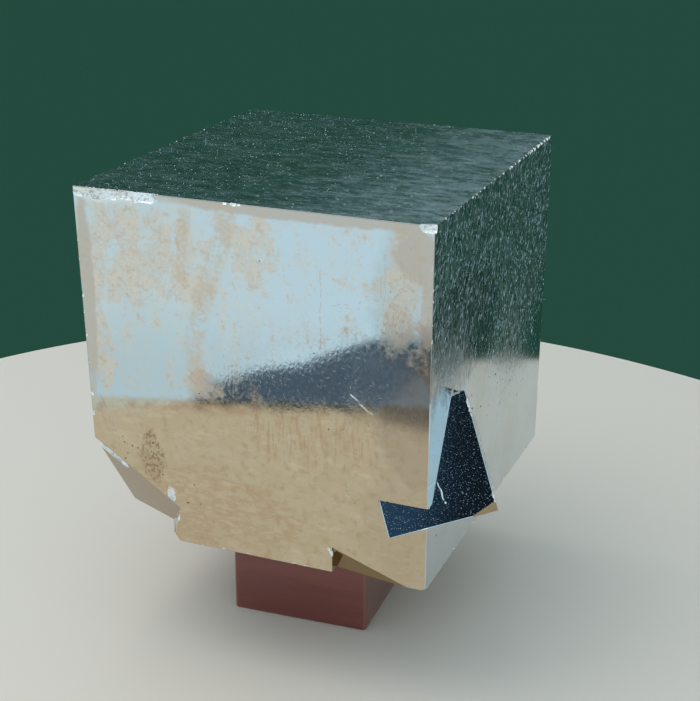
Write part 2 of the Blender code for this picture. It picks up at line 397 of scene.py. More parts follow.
def any_turn():
    return Euler([rng.uniform(0, math.pi) for _ in range(3)], "XYZ").to_matrix()


def near(middle, spread):
    """A place in a patch, likelier near its middle and never far out."""
    return middle + spread * max(-FARTHEST, min(FARTHEST, rng.gauss(0, GATHERED)))


taken = []
for face_name, middle, spread, count, size in PIT_PATCHES:
    lumps = bmesh.new()
    for _ in range(count):
        place = Vector(FACE_SPOT[face_name](*(near(m, s) for m, s in zip(middle, spread))))
        s = size * rng.uniform(*PIT_RANGE)
        if any((place - other).length < reach + s for other, reach in taken):
            continue
        taken.append((place, s))
        rough_lump(lumps, place, Vector((s, s, s)), any_turn(), detail=1)
    bite(crystal, lumps, PITTED, face_name + " pits")
print("pits:", len(taken), "faces:", len(crystal.data.polygons))

# %% [markdown]
# ## Naming the facets
#
# Each facet carries its own growth lines and its own tarnish, so every face of the mesh is given
# the name of the plane that it lies in. What lies in none of them is an edge, a break or a pit.

# %% The planes of the facets
DOWN, RIGHTWARD = Vector((0, 0, -1)), Vector((1, 0, 0))
FACETS = {
    "front": (Vector((0, 0, 0)), Vector((0, -1, 0))),
    "back": (Vector((0, CUBE_DEPTH, 0)), Vector((0, 1, 0))),
    "top": (Vector((0, 0, CUBE_HEIGHT)), Vector((0, 0, 1))),
    "bottom": (Vector((0, 0, 0)), DOWN),
    "left": (Vector((0, 0, CUBE_HEIGHT)), Vector((-CUBE_HEIGHT, 0, -LEFT_TAPER)).normalized()),
    "right": (Vector((CUBE_WIDTH, 0, CUBE_HEIGHT)), Vector((CUBE_HEIGHT, 0, -RIGHT_TAPER)).normalized()),
    "corner": (CORNER_PLANE[0], -CORNER_PLANE[1]),
    "corner_wall": (CORNER_WALL[0], -CORNER_WALL[1]),
    "wedge_wall": (Vector((WEDGE_START, 0, 0)), RIGHTWARD),
    "wedge": (WEDGE_PLANE[0], -WEDGE_PLANE[1]),
    "twin_front": (TWIN_CORNER, -twin_inward),
    "twin_right": (TWIN_CORNER, twin_right),
    "twin_under": (TWIN_CORNER, -twin_up),
    "twin_top": (TWIN_CORNER + twin_up * TWIN_HEIGHT, twin_up),
    "twin_back": (TWIN_CORNER + twin_inward * TWIN_DEPTH, twin_inward),
    "twin_left": (TWIN_CORNER - twin_right * TWIN_WIDTH, -twin_right),
}
FACET_NAMES = list(FACETS)


SAME_WAY, IN_PLANE = 0.9995, 0.02


def facet_of(face):
    middle = face.calc_center_median()
    for number, (point, normal) in enumerate(FACETS.values()):
        if abs(face.normal.dot(normal)) > SAME_WAY and abs((middle - point).dot(normal)) < IN_PLANE:
            return number
    return -1


print("facets:", FACET_NAMES)

# %% [markdown]
# ## A fine skin on the flat faces
#
# A face that looks flat is never quite flat: it swells and dips by a hundredth of a millimetre,
# and a mirror shows that. Each facet is filled with a grid of points that shares its rim with its
# neighbours, so the skin stays closed, and the points are then moved a little.

# %% Points inside a facet
GRID = 0.75
GRID_START, CLEAR_OF_RIM = 0.6 * GRID, 0.45 * GRID
AXES = (Vector((1, 0, 0)), Vector((0, 1, 0)), Vector((0, 0, 1)))


def facet_axes(normal):
    axis = min(AXES, key=lambda a: abs(a.dot(normal)))
    u = (axis - normal * axis.dot(normal)).normalized()
    return u, normal.cross(u)


def inside_and_far(points, ring, reach):
    """Which points lie inside the ring, and how far each is from it."""
    a, b = ring, np.roll(ring, -1, axis=0)
    inside = np.zeros(len(points), bool)
    nearest = np.full(len(points), np.inf)
    for (ax, ay), (bx, by) in zip(a, b):
        crosses = (ay > points[:, 1]) != (by > points[:, 1])
        if by != ay:
            inside ^= crosses & (points[:, 0] < (bx - ax) * (points[:, 1] - ay) / (by - ay) + ax)
        edge = np.array((bx - ax, by - ay))
        length = max(float(edge @ edge), 1e-12)
        t = np.clip(((points - (ax, ay)) @ edge) / length, 0, 1)
        gap = np.linalg.norm(points - ((ax, ay) + t[:, None] * edge), axis=1)
        nearest = np.minimum(nearest, gap)
    return inside & (nearest > reach), nearest


def grid_inside(outline):
    """The points of a square grid inside an outline, and how far each is from it."""
    low, high = outline.min(axis=0), outline.max(axis=0)
    xs, ys = (np.arange(a + GRID_START, b, GRID) for a, b in zip(low, high))
    grid = np.array([(x, y) for y in ys for x in xs])
    if not len(grid):
        return [], []
    keep, gap = inside_and_far(grid, outline, CLEAR_OF_RIM)
    return grid[keep].tolist(), gap[keep].tolist()


square = np.array(((0.0, 0.0), (10.0, 0.0), (10.0, 10.0), (0.0, 10.0)))
print("grid points in a square of ten millimetres:", len(grid_inside(square)[0]))

# %% The fine skin
RELIEF, RELIEF_FADE = 0.011, 2.5
SWELL_PATTERN, RIPPLE_PATTERN, RIPPLE_SHARE = 0.13, 0.55, 0.35
ONLY_INSIDE, CLOSE = 1, 1e-7


def split_rims(coarse, fine):
    """New points for the corners and edges of the coarse mesh, which neighbouring facets share."""
    corners = {vertex: fine.verts.new(vertex.co) for vertex in coarse.verts}
    along = {}
    for edge in coarse.edges:
        first, last = edge.verts
        parts = max(1, round(edge.calc_length() / GRID))
        between = [fine.verts.new(first.co.lerp(last.co, k / parts)) for k in range(1, parts)]
        along[edge] = (first, between)
    return corners, along


def rim_of(face, corners, along):
    ring = []
    for loop in face.loops:
        ring.append(corners[loop.vert])
        first, between = along[loop.edge]
        ring.extend(between if loop.vert == first else reversed(between))
    return ring


def fill_facet(fine, face, ring):
    """Triangles between the rim of a face and a grid of points inside it."""
    u, v = facet_axes(face.normal)
    base = face.verts[0].co
    flat = [((w.co - base).dot(u), (w.co - base).dot(v)) for w in ring]
    inner, far = grid_inside(np.array(flat)) if face.calc_area() > 2 * GRID**2 else ([], [])
    places = [Vector(p) for p in flat + inner]
    rim = list(range(len(flat)))
    points, _, triangles, origins, *_ = delaunay_2d_cdt(places, [], [rim], ONLY_INSIDE, CLOSE)
    chosen = []
    for point, source in zip(points, origins):
        known = [s for s in source if s < len(flat)]
        if known:
            chosen.append(ring[known[0]])
            continue
        spot = base + u * point.x + v * point.y
        gap = far[source[0] - len(flat)] if source else 0.0
        swell = noise.noise(spot * SWELL_PATTERN) + RIPPLE_SHARE * noise.noise(spot * RIPPLE_PATTERN)
        fade = min(1.0, gap / RELIEF_FADE)
        chosen.append(fine.verts.new(spot + face.normal * RELIEF * swell * fade * fade))
    return [[chosen[i] for i in triangle] for triangle in triangles]


def fine_skin(mesh):
    coarse = bmesh.new()
    coarse.from_mesh(mesh)
    coarse.normal_update()
    fine = bmesh.new()
    facet_layer = fine.faces.layers.int.new("facet")
    kind_layer = fine.faces.layers.int.new("kind")
    corners, along = split_rims(coarse, fine)
    for face in coarse.faces:
        ring = rim_of(face, corners, along)
        triangles = [ring] if len(ring) == 3 else fill_facet(fine, face, ring)
        for triangle in triangles:
            if len(set(triangle)) == 3 and not fine.faces.get(triangle):
                made = fine.faces.new(triangle)
                made[facet_layer], made[kind_layer] = facet_of(face), face.material_index
    coarse.free()
    return fine


fine = fine_skin(crystal.data)
fine.normal_update()
open_edges = sum(len(edge.link_faces) != 2 for edge in fine.edges)
print("fine skin:", len(fine.verts), "points,", len(fine.faces), "faces, open edges:", open_edges)

# %% [markdown]
# Edges that turn sharply stay sharp and the rest of a facet is smooth, so it reflects as one
# mirror. Each facet's name is written to the mesh as a mask that materials and scatterers read.

# %% Sharp edges and facet masks
facet_layer = fine.faces.layers.int["facet"]
kind_layer = fine.faces.layers.int["kind"]
for face in fine.faces:
    face.smooth = face[facet_layer] >= 0
    face.material_index = 0
for edge in fine.edges:
    pair = edge.link_faces
    same = len(pair) == 2 and pair[0][facet_layer] == pair[1][facet_layer]
    edge.smooth = same and pair[0].smooth

MASKS = {name: (name,) for name in ("front", "right", "top", "left", "back", "bottom")}
MASKS["imprint"] = ("corner", "corner_wall", "wedge", "wedge_wall")
MASKS["twin_front"] = ("twin_front",)
MASKS["twin_side"] = ("twin_right", "twin_under", "twin_top", "twin_back", "twin_left")
for mask, names in MASKS.items():
    numbers = {FACET_NAMES.index(name) for name in names}
    layer = fine.faces.layers.float.new(mask)
    for face in fine.faces:
        face[layer] = 1.0 if face[facet_layer] in numbers else 0.0
print("facet masks:", list(MASKS))

# %% Zones that fade out
# The scuffed part of the front, the dashes beside it and the lined part of the right side.
ZONES = {
    "scuffed": ("front", [((22.5, 0, 19.5), (6.5, 9, 3.4)), ((29.5, 0, 21.0), (4.0, 9, 3.5))]),
    "dashed": ("front", [((19.5, 0, 21.5), (4.5, 9, 4.5)), ((33.5, 0, 31.0), (3.5, 9, 5.0))]),
    "lined": (
        "right",
        [((38, 14, 36), (9, 26, 15)), ((38, 30, 34), (9, 16, 21)), ((38, 6, 27), (9, 8, 7))],
    ),
}
ZONE_END, ZONE_FADE = 1.25, 0.5


def share_of_reach(place, centre, reach):
    return math.sqrt(sum(((p - c) / r) ** 2 for p, c, r in zip(place, centre, reach)))


for zone, (facet, spots) in ZONES.items():
    layer = fine.faces.layers.float.new(zone)
    number = FACET_NAMES.index(facet)
    for face in fine.faces:
        if face[facet_layer] == number:
            middle = face.calc_center_median()
            nearest = min(share_of_reach(middle, centre, reach) for centre, reach in spots)
            face[layer] = max(0.0, min(1.0, (ZONE_END - nearest) / ZONE_FADE))
print("zones:", list(ZONES))

# %% Breaks, pits and rubbed edges
break_layer, broken_layer, pit_layer, rubbed_layer = (
    fine.faces.layers.float.new(name) for name in ("smooth_break", "broken", "pit", "rubbed_edge")
)
CLEAR_OF_TWIN = TWIN_HEIGHT + 1
for face in fine.faces:
    kind, loose = face[kind_layer], face[facet_layer] < 0
    far = (face.calc_center_median() - TWIN_CORNER).length > CLEAR_OF_TWIN
    face[rubbed_layer] = float(loose and far and kind == GROWN)
    face[broken_layer] = float(loose and kind == BROKEN)
    face[pit_layer] = float(loose and kind == PITTED)
    face[break_layer] = float(kind == SMOOTH_BREAK)

body_mesh = bpy.data.meshes.new("pyrite_cube_skin")
fine.to_mesh(body_mesh)
fine.free()
discard(crystal)
print("masks:", [a.name for a in body_mesh.attributes if a.domain == "FACE"])

# %% [markdown]
# ## Short names for nodes
#
# Trees of nodes do the rest of the work. A few short methods make a node, set it and join it in one
# line, so a tree reads like a formula, for scatterers and materials alike.

# %% Nodes in one line each
class Wires:
    """Makes and joins the nodes of one tree."""

    def __init__(self, tree):
        self.tree = tree

    def node(self, kind, settings=None, **inputs):
        made = self.tree.nodes.new(kind)
        for key, value in (settings or {}).items():
            setattr(made, key, value)
        for key, value in inputs.items():
            self.feed(made.inputs[key.replace("_", " ")], value)
        return made

    def feed(self, socket, value):
        if isinstance(value, bpy.types.NodeSocket):
            self.tree.links.new(value, socket)
        else:
            socket.default_value = value

    def math(self, operation, a, b, clamp=False):
        made = self.node("ShaderNodeMath", {"operation": operation, "use_clamp": clamp})
        self.feed(made.inputs[0], a)
        self.feed(made.inputs[1], b)
        return made.outputs[0]

    def times(self, a, b):
        return self.math("MULTIPLY", a, b)

    def plus(self, a, b):
        return self.math("ADD", a, b)

    def minus(self, a, b):
        return self.math("SUBTRACT", a, b)

    def higher(self, a, b):
        return self.math("MAXIMUM", a, b)

    def highest(self, values):
        top = 0.0
        for value in values:
            top = self.higher(top, value)
        return top

    def vector(self, operation, a, b=None, output=0):
        made = self.node("ShaderNodeVectorMath", {"operation": operation})
        self.feed(made.inputs[0], a)
        if b is not None:
            self.feed(made.inputs[1], b)
        return made.outputs[output]

    def scaled(self, vector, by):
        made = self.node("ShaderNodeVectorMath", {"operation": "SCALE"}, Scale=by)
        self.feed(made.inputs[0], vector)
        return made.outputs[0]

    def ramp(self, value, low, high, to_low=0.0, to_high=1.0):
        made = self.node("ShaderNodeMapRange", {"interpolation_type": "SMOOTHSTEP"})
        for slot, item in enumerate((value, low, high, to_low, to_high)):
            self.feed(made.inputs[slot], item)
        return made.outputs[0]

    def mix(self, amount, a, b):
        made = self.node("ShaderNodeMix", {"data_type": "RGBA"})
        self.feed(made.inputs[0], amount)
        self.feed(made.inputs[6], a)
        self.feed(made.inputs[7], b)
        return made.outputs[2]

    def attribute(self, name):
        return self.node("ShaderNodeAttribute", {"attribute_name": name}).outputs["Fac"]

    def noise(self, vector, scale, detail=3.0, roughness=0.55):
        made = self.node(
            "ShaderNodeTexNoise", Vector=vector, Scale=scale, Detail=detail, Roughness=roughness
        )
        return made.outputs["Fac"]

    def stretched(self, vector, scale, turn=(0.0, 0.0, 0.0)):
        made = self.node("ShaderNodeMapping", Vector=vector, Scale=scale, Rotation=turn)
        return made.outputs[0]


print("one-line nodes:", [name for name in vars(Wires) if not name.startswith("_")])

# %% [markdown]
# ## Growth lines, grown by rule
#
# Layers stop growing in straight steps, which leaves each facet with fine ridges that all run one
# way: along the front edge on the top, steeply on the right side, slanting on the small crystal.
# A scatterer sets a slim eight-sided ridge at each point, turned to the facet's own direction.

# %% A tree that scatters small solids
SCATTER_INPUTS = {
    "Mask": "String", "Density": "Float", "Along": "Vector", "Smallest": "Vector",
    "Largest": "Vector", "Turn": "Float", "Seed": "Int", "Material": "Material",
}
OBLIQUE = (0.6, 0.5, 0.62)


def scatter_tree(name, ridge):
    """A tree that sets small solids on the faces that a mask picks out."""
    tree = bpy.data.node_groups.new(name, "GeometryNodeTree")
    for label, kind in {"Geometry": "Geometry", **SCATTER_INPUTS}.items():
        tree.interface.new_socket(label, in_out="INPUT", socket_type="NodeSocket" + kind)
    tree.interface.new_socket("Geometry", in_out="OUTPUT", socket_type="NodeSocketGeometry")
    wires = Wires(tree)
    given = wires.node("NodeGroupInput").outputs

    mask = wires.node("GeometryNodeInputNamedAttribute", {"data_type": "FLOAT"}, Name=given["Mask"])
    spread = wires.node(
        "GeometryNodeDistributePointsOnFaces", Mesh=given["Geometry"], Seed=given["Seed"],
        Density=wires.times(given["Density"], mask.outputs["Attribute"]),
    )
    facing = wires.node(
        "FunctionNodeAxesToRotation", {"primary_axis": "Z", "secondary_axis": "X"},
        Primary_Axis=spread.outputs["Normal"], Secondary_Axis=given["Along"],
    )
    angle = wires.node("FunctionNodeRandomValue", {"data_type": "FLOAT"}, Seed=given["Seed"])
    wires.feed(angle.inputs[2], wires.times(given["Turn"], -1.0))
    wires.feed(angle.inputs[3], given["Turn"])
    twist = wires.node(
        "FunctionNodeAxisAngleToRotation", Axis=(0, 0, 1) if ridge else OBLIQUE,
        Angle=angle.outputs[1],
    )
    turned = wires.node("FunctionNodeRotateRotation", {"rotation_space": "LOCAL"})
    wires.feed(turned.inputs[0], facing.outputs[0])
    wires.feed(turned.inputs[1], twist.outputs[0])
    size = wires.node("FunctionNodeRandomValue", {"data_type": "FLOAT_VECTOR"}, Seed=given["Seed"])
    wires.feed(size.inputs[0], given["Smallest"])
    wires.feed(size.inputs[1], given["Largest"])

    if ridge:
        shape = wires.node("GeometryNodeMeshUVSphere", Segments=4, Rings=2, Radius=1.0)
    else:
        shape = wires.node("GeometryNodeMeshIcoSphere", Subdivisions=1, Radius=1.0)
    place = wires.node(
        "GeometryNodeInstanceOnPoints", Points=spread.outputs["Points"],
        Instance=shape.outputs["Mesh"], Rotation=turned.outputs[0], Scale=size.outputs[0],
    )
    real = wires.node("GeometryNodeRealizeInstances", Geometry=place.outputs["Instances"])
    painted = wires.node(
        "GeometryNodeSetMaterial", Geometry=real.outputs[0], Material=given["Material"]
    )
    wires.node("NodeGroupOutput", Geometry=painted.outputs[0])
    return tree


pyrite = bpy.data.materials.new("pyrite")
ridge_tree = scatter_tree("growth ridges", ridge=True)
grain_tree = scatter_tree("broken grains", ridge=False)
print("nodes in a scatter tree:", len(ridge_tree.nodes))

# %% Running a tree
def scattered(tree, name, **values):
    """Runs the tree on a copy of the skin and gives back the new mesh alone."""
    holder = bpy.data.objects.new(name, body_mesh)
    bpy.context.scene.collection.objects.link(holder)
    modifier = holder.modifiers.new(name, "NODES")
    modifier.node_group = tree
    values["Material"] = pyrite
    for item in tree.interface.items_tree:
        if item.in_out == "INPUT" and item.name in values:
            modifier[item.identifier] = values[item.name]
    bpy.context.view_layer.update()
    graph = bpy.context.evaluated_depsgraph_get()
    plain = bpy.data.meshes.new_from_object(holder.evaluated_get(graph))
    bpy.data.objects.remove(holder, do_unlink=True)
    for label in [a.name for a in plain.attributes if a.domain == "POINT" and a.name != "position"]:
        plain.attributes.remove(plain.attributes[label])
    return plain


# The masks that the scattered solids carry on, so that they take the look of their place.
CARRIED = {"scuffed": "front", "dashed": "front", "broken": "broken"}
parts = []
print("masks carried on:", CARRIED)

# %% Ridges
# The density is per square millimetre, then come the direction, the smallest and the largest half
# length, half width and half height in millimetres, the turn in radians and the seed.
STEEP = Vector((0, 0.6, 0.8))
SLANT = (twin_right * 0.55 - twin_up * 0.83).normalized()
DIAGONAL = Vector((0.79, 0, -0.61))
RIDGE_FACES = 8
RIDGES = {
    "lined": (4.6, STEEP, (0.06, 0.007, 0.002), (0.45, 0.02, 0.021), 0.3, 11),
    "right": (0.5, STEEP, (0.08, 0.01, 0.001), (0.3, 0.02, 0.005), 0.4, 19),
    "top": (1.1, Vector((1, 0, 0)), (0.08, 0.01, 0.001), (0.4, 0.02, 0.006), 0.35, 12),
    "scuffed": (1.8, DIAGONAL, (0.04, 0.01, 0.002), (0.3, 0.022, 0.009), 0.8, 13),
    "dashed": (1.6, Vector((0, 0, 1)), (0.08, 0.012, 0.002), (0.4, 0.022, 0.008), 0.15, 22),
    "left": (1.1, Vector((0, -0.3, 0.95)), (0.1, 0.012, 0.002), (0.9, 0.025, 0.008), 0.12, 14),
    "back": (0.9, Vector((1, 0, 0)), (0.1, 0.012, 0.002), (1.0, 0.025, 0.008), 0.1, 15),
    "bottom": (0.5, Vector((1, 0, 0)), (0.1, 0.015, 0.002), (0.6, 0.03, 0.01), 0.3, 16),
    "twin_front": (6.0, SLANT, (0.015, 0.008, 0.001), (0.08, 0.016, 0.01), 0.5, 17),
    "twin_side": (0.8, twin_up, (0.08, 0.012, 0.002), (0.4, 0.03, 0.008), 0.3, 18),
}
for mask, (density, along, least, most, turn, seed) in RIDGES.items():
    ridges = scattered(
        ridge_tree, "ridges on " + mask, Mask=mask, Density=density, Along=tuple(along),
        Smallest=least, Largest=most, Turn=turn, Seed=seed,
    )
    parts.append((ridges, CARRIED.get(mask)))
    print(mask, "ridges:", len(ridges.polygons) // RIDGE_FACES)

# %% [markdown]
# A fresh break is a heap of tiny facets that catch the sky, so the chips look like sugar. The same
# kind of tree strews small grains over them.

# %% Grains
GRAINS = {
    "broken": (22.0, (0.03, 0.03, 0.02), (0.1, 0.1, 0.06), 21),
    "top": (0.55, (0.015, 0.015, 0.012), (0.075, 0.06, 0.05), 31),
    "lined": (1.0, (0.015, 0.015, 0.012), (0.07, 0.06, 0.05), 32),
    "twin_front": (6.0, (0.012, 0.012, 0.01), (0.05, 0.045, 0.035), 33),
    "scuffed": (0.5, (0.015, 0.015, 0.01), (0.04, 0.04, 0.02), 34),
}
ANY_WAY = 3.1
GRAIN_FACES = 20
for mask, (density, least, most, seed) in GRAINS.items():
    grains = scattered(
        grain_tree, "grains on " + mask, Mask=mask, Density=density, Along=(1.0, 0.0, 0.0),
        Smallest=least, Largest=most, Turn=ANY_WAY, Seed=seed,
    )
    parts.append((grains, CARRIED.get(mask)))
    print(mask, "grains:", len(grains.polygons) // GRAIN_FACES)

# %% [markdown]
# ## One crystal
#
# Skin, ridges and grains grew as one piece, so they are joined in one mesh and carried into the
# frame. Its object stays at the origin. The scattered solids drop the masks of the points that they
# grew from and keep one of their own, so that each mask lives on faces alone.

# %% Joining it all
whole = bmesh.new()
whole.from_mesh(body_mesh)
for mesh, carried in parts:
    added = bmesh.new()
    added.from_mesh(mesh)
    carried_layer = added.faces.layers.float.new(carried) if carried else None
    for face in added.faces:
        face.smooth = False
        if carried:
            face[carried_layer] = 1.0
    added.to_mesh(mesh)
    added.free()
    whole.from_mesh(mesh)
for face in whole.faces:
    face.material_index = 0
bmesh.ops.transform(whole, matrix=crystal_place, verts=whole.verts[:])
crystal_mesh = bpy.data.meshes.new("pyrite_crystal")
whole.to_mesh(crystal_mesh)
whole.free()
crystal_mesh.materials.clear()
crystal_mesh.materials.append(pyrite)
pyrite_crystal = bpy.data.objects.new("pyrite_crystal", crystal_mesh)
bpy.context.scene.collection.objects.link(pyrite_crystal)
for mesh in [mesh for mesh, _ in parts] + [body_mesh]:
    bpy.data.meshes.remove(mesh)
print("crystal triangles:", sum(len(p.vertices) - 2 for p in crystal_mesh.polygons))

# %% [markdown]
# ## The look of pyrite
#
# Pyrite is a pale brass-yellow metal to the eye. Air stains it: thin brown tarnish in blotches
# and a warm band along the rims, with cleaner, paler metal between. The groups below give places
# and masks in the crystal's own millimetres, and the metal itself stays in the shader.

# %% Millimetres as a shader group
def shader_group(name, inputs, outputs):
    """A new group, with what it is given and what it gives out."""
    tree = bpy.data.node_groups.new(name, "ShaderNodeTree")
    for label, kind, default in inputs:
        socket = tree.interface.new_socket(label, in_out="INPUT", socket_type="NodeSocket" + kind)
        socket.default_value = default
    for label, kind in outputs:
        tree.interface.new_socket(label, in_out="OUTPUT", socket_type="NodeSocket" + kind)
    return tree, tree.nodes.new("NodeGroupInput").outputs, tree.nodes.new("NodeGroupOutput").inputs


# Object coordinates in metres become the crystal's millimetres.
millimetres, given, out = shader_group("crystal millimetres", [], [("Place", "Vector")])
wires = Wires(millimetres)
where = wires.node("ShaderNodeTexCoord").outputs["Object"]
wires.feed(out["Place"], wires.vector("ADD", wires.scaled(where, 1 / MM), -crystal_shift))
print("millimetres group:", len(millimetres.nodes), "nodes")

# %% Stain patch
# A soft patch around a place, its outline broken up by noise.
PATCH_END, PATCH_FULL = 1.1, 0.75
stain_patch, given, out = shader_group(
    "stain patch",
    [
        ("Place", "Vector", (0, 0, 0)), ("Centre", "Vector", (0, 0, 0)), ("Reach", "Vector", (1, 1, 1)),
        ("Ragged", "Float", 0.5), ("Grain", "Float", 0.5),
    ],
    [("Mask", "Float")],
)
wires = Wires(stain_patch)
offset = wires.vector("SUBTRACT", given["Place"], given["Centre"])
far = wires.vector("LENGTH", wires.vector("DIVIDE", offset, given["Reach"]), output="Value")
wobble = wires.times(wires.minus(given["Grain"], 0.5), given["Ragged"])
wires.feed(out["Mask"], wires.ramp(wires.plus(far, wobble), PATCH_END, PATCH_FULL))
print("stain patch:", len(stain_patch.nodes), "nodes")

# %% Scratch
# A thin line between two places on a face.
LINE_END, LINE_FULL = 1.0, 0.4
scratch_line, given, out = shader_group(
    "scratch",
    [
        ("Place", "Vector", (0, 0, 0)), ("Start", "Vector", (0, 0, 0)), ("End", "Vector", (1, 0, 0)),
        ("Width", "Float", 0.1),
    ],
    [("Mask", "Float")],
)
wires = Wires(scratch_line)
run = wires.vector("SUBTRACT", given["End"], given["Start"])
away = wires.vector("SUBTRACT", given["Place"], given["Start"])
covered = wires.vector("DOT_PRODUCT", away, run, "Value")
share = wires.math("DIVIDE", covered, wires.vector("DOT_PRODUCT", run, run, "Value"), clamp=True)
beside = wires.vector("SUBTRACT", away, wires.scaled(run, share))
gap = wires.vector("LENGTH", beside, output="Value")
wires.feed(out["Mask"], wires.ramp(wires.math("DIVIDE", gap, given["Width"]), LINE_END, LINE_FULL))
print("scratch:", len(scratch_line.nodes), "nodes")

# %% [markdown]
# ## Where the front is stained
#
# The front is the face that has been handled and cleaned. It keeps tan blotches and runs in its
# upper left, a warm rim under the top edge and down the right margin, and a browner, golden foot
# whose base colour is partly a painted reflection of the floor. The places are read in millimetres
# along the face, and noise breaks up their outlines.

# %% Places of the stains
# Each row has a centre, how far the patch reaches and how ragged its outline is.
FRONT_STAINS = [
    ("left side", (4.8, 0, 31.0), (5.0, 9, 6.0), 2.2),
    ("left below", (2.0, 0, 22.5), (1.6, 9, 7.5), 2.4),
    ("beside the runs", (10.5, 0, 31.0), (4.5, 9, 5.0), 2.4),
    ("under the runs", (14.0, 0, 18.3), (2.6, 9, 1.8), 2.6),
    ("right side", (35.5, 0, 30.0), (3.0, 9, 9.0), 2.6),
    ("right of the runs", (19.5, 0, 33.0), (2.4, 9, 4.0), 2.8),
]
FRONT_BANDS = [
    ("rim", (24.0, 0, 37.45), (17, 9, 1.1), 0.7),
    ("upper right", (36.3, 0, 34.8), (2.4, 9, 3.0), 2.2),
    ("right margin", (37.6, 0, 28.0), (0.9, 9, 7.0), 1.8),
    ("left margin", (0.9, 0, 26.0), (1.0, 9, 12.0), 0.7),
]
print("stains:", [row[0] for row in FRONT_STAINS + FRONT_BANDS])

# %% Lines on the front
# The runs are where water ran down the face, the outlines are the faint steps of old growth.
RUNS = [
    ([(12.3, 35.7), (12.2, 34.9)], 1.2), ([(12.2, 34.9), (11.9, 33.3), (11.7, 29.5)], 1.0),
    ([(16.9, 36.8), (16.5, 33.8), (15.1, 30.1), (14.6, 28.5), (13.7, 25.5), (12.8, 22.5), (13.3, 19.4)], 1.4),
]
SHORE_LINE = [(0.9, 14.8), (7.6, 16.2), (13.4, 16.4), (19.0, 17.0)]
OUTLINES = [
    [(32.8, 33.7), (32.8, 30.0), (32.4, 29.7), (31.3, 30.0)],
    [(35.0, 33.6), (35.0, 31.0), (34.1, 30.1), (34.0, 27.5)],
    [(28.5, 28.8), (30.5, 29.0), (30.8, 29.5)], [(26.7, 32.0), (26.7, 24.0)],
]
FRONT_SCRATCHES = [
    ((1.7, 0, 15.3), (3.8, 0, 10.5), 0.09), ((3.8, 0, 10.5), (10.1, 0, 7.1), 0.06),
    ((15.3, 0, 6.9), (26.5, 0, 4.0), 0.05), ((29.3, 0, 9.9), (30.3, 0, 8.4), 0.16),
    ((29.8, 0, 19.8), (32.0, 0, 18.1), 0.12), ((33.2, 0, 34.2), (33.2, 0, 29.6), 0.06),
    ((34.8, 0, 33.8), (34.5, 0, 27.4), 0.07), ((31.4, 0, 17.2), (32.2, 0, 16.2), 0.1),
    ((28.0, 0, 28.6), (30.8, 0, 28.6), 0.05), ((28.2, 0, 15.4), (30.2, 0, 16.6), 0.07),
]
TWIN_HAIRLINE = [(38.0, 2.33, 10.91), (38.46, 2.23, 10.5), (38.79, 1.91, 9.74), (39.22, 1.62, 8.98)]
SHORE_WIDTH, OUTLINE_WIDTH, HAIRLINE_WIDTH = 1.6, 0.07, 0.075
print("runs:", len(RUNS), "outlines:", len(OUTLINES), "scratches:", len(FRONT_SCRATCHES))

# %% Patterns shared by the looks
pyrite.use_nodes = True
pyrite.node_tree.nodes.clear()
wires = Wires(pyrite.node_tree)
place = wires.node("ShaderNodeGroup", {"node_tree": millimetres}).outputs["Place"]
separate = wires.node("ShaderNodeSeparateXYZ", Vector=place)
across, level = separate.outputs["X"], separate.outputs["Z"]
fine_mottle = wires.noise(place, 2.2, 4.0, 0.65)
broad_mottle = wires.noise(place, 0.5, 5.0, 0.6)
wobbly = wires.node("ShaderNodeTexNoise", Vector=place, Scale=1.1, Detail=2.0).outputs["Color"]
shake = wires.vector("SUBTRACT", wobbly, (0.5, 0.5, 0.5))
shaken = wires.vector("ADD", wires.scaled(shake, 0.5), place)
front = wires.attribute("front")


def stain(centre, reach, ragged):
    made = wires.node("ShaderNodeGroup", {"node_tree": stain_patch}, Place=place, Grain=broad_mottle)
    made.inputs["Centre"].default_value = centre
    made.inputs["Reach"].default_value = reach
    made.inputs["Ragged"].default_value = ragged
    return made.outputs["Mask"]


def strongest(rows):
    return wires.highest(stain(centre, reach, ragged) for _, centre, reach, ragged in rows)


def scratch(start, end, width):
    made = wires.node("ShaderNodeGroup", {"node_tree": scratch_line}, Place=shaken)
    made.inputs["Start"].default_value = start
    made.inputs["End"].default_value = end
    made.inputs["Width"].default_value = width
    return made.outputs["Mask"]


def path(points, width):
    return wires.highest(
        scratch((x0, 0, z0), (x1, 0, z1), width) for (x0, z0), (x1, z1) in zip(points, points[1:])
    )


def layered(colour, layers):
    """Lays colours over one another, each with its mask and its strength."""
    for mask, strength, tint in layers:
        colour = wires.mix(wires.times(mask, strength), colour, tint)
    return colour


print("shared patterns:", len(pyrite.node_tree.nodes), "nodes")

# %% Islands, runs and film on the front
# Tarnish starts in islands with lobed shores, which run together where it is strongest.
islands = wires.noise(wires.stretched(place, (0.42, 0.42, 0.3)), 1.0, 6.0, 0.62)
excess = wires.plus(islands, wires.times(strongest(FRONT_STAINS), 0.16))
crumbled = wires.times(wires.minus(fine_mottle, 0.5), 0.45)
stained = wires.times(wires.ramp(wires.plus(excess, crumbled), 0.44, 0.8), 1.05)
stained = wires.plus(stained, wires.ramp(excess, 0.6, 0.66, 0.0, 0.14))
shore = wires.times(wires.ramp(excess, 0.59, 0.63), wires.ramp(excess, 0.7, 0.64))
bands = strongest(FRONT_BANDS)
browner = wires.times(stained, wires.ramp(wires.noise(place, 1.1, 5.0, 0.65), 0.48, 0.66))
film = wires.times(stain((9, 0, 29), (14, 9, 13), 2.0), wires.ramp(broad_mottle, 0.36, 0.62))

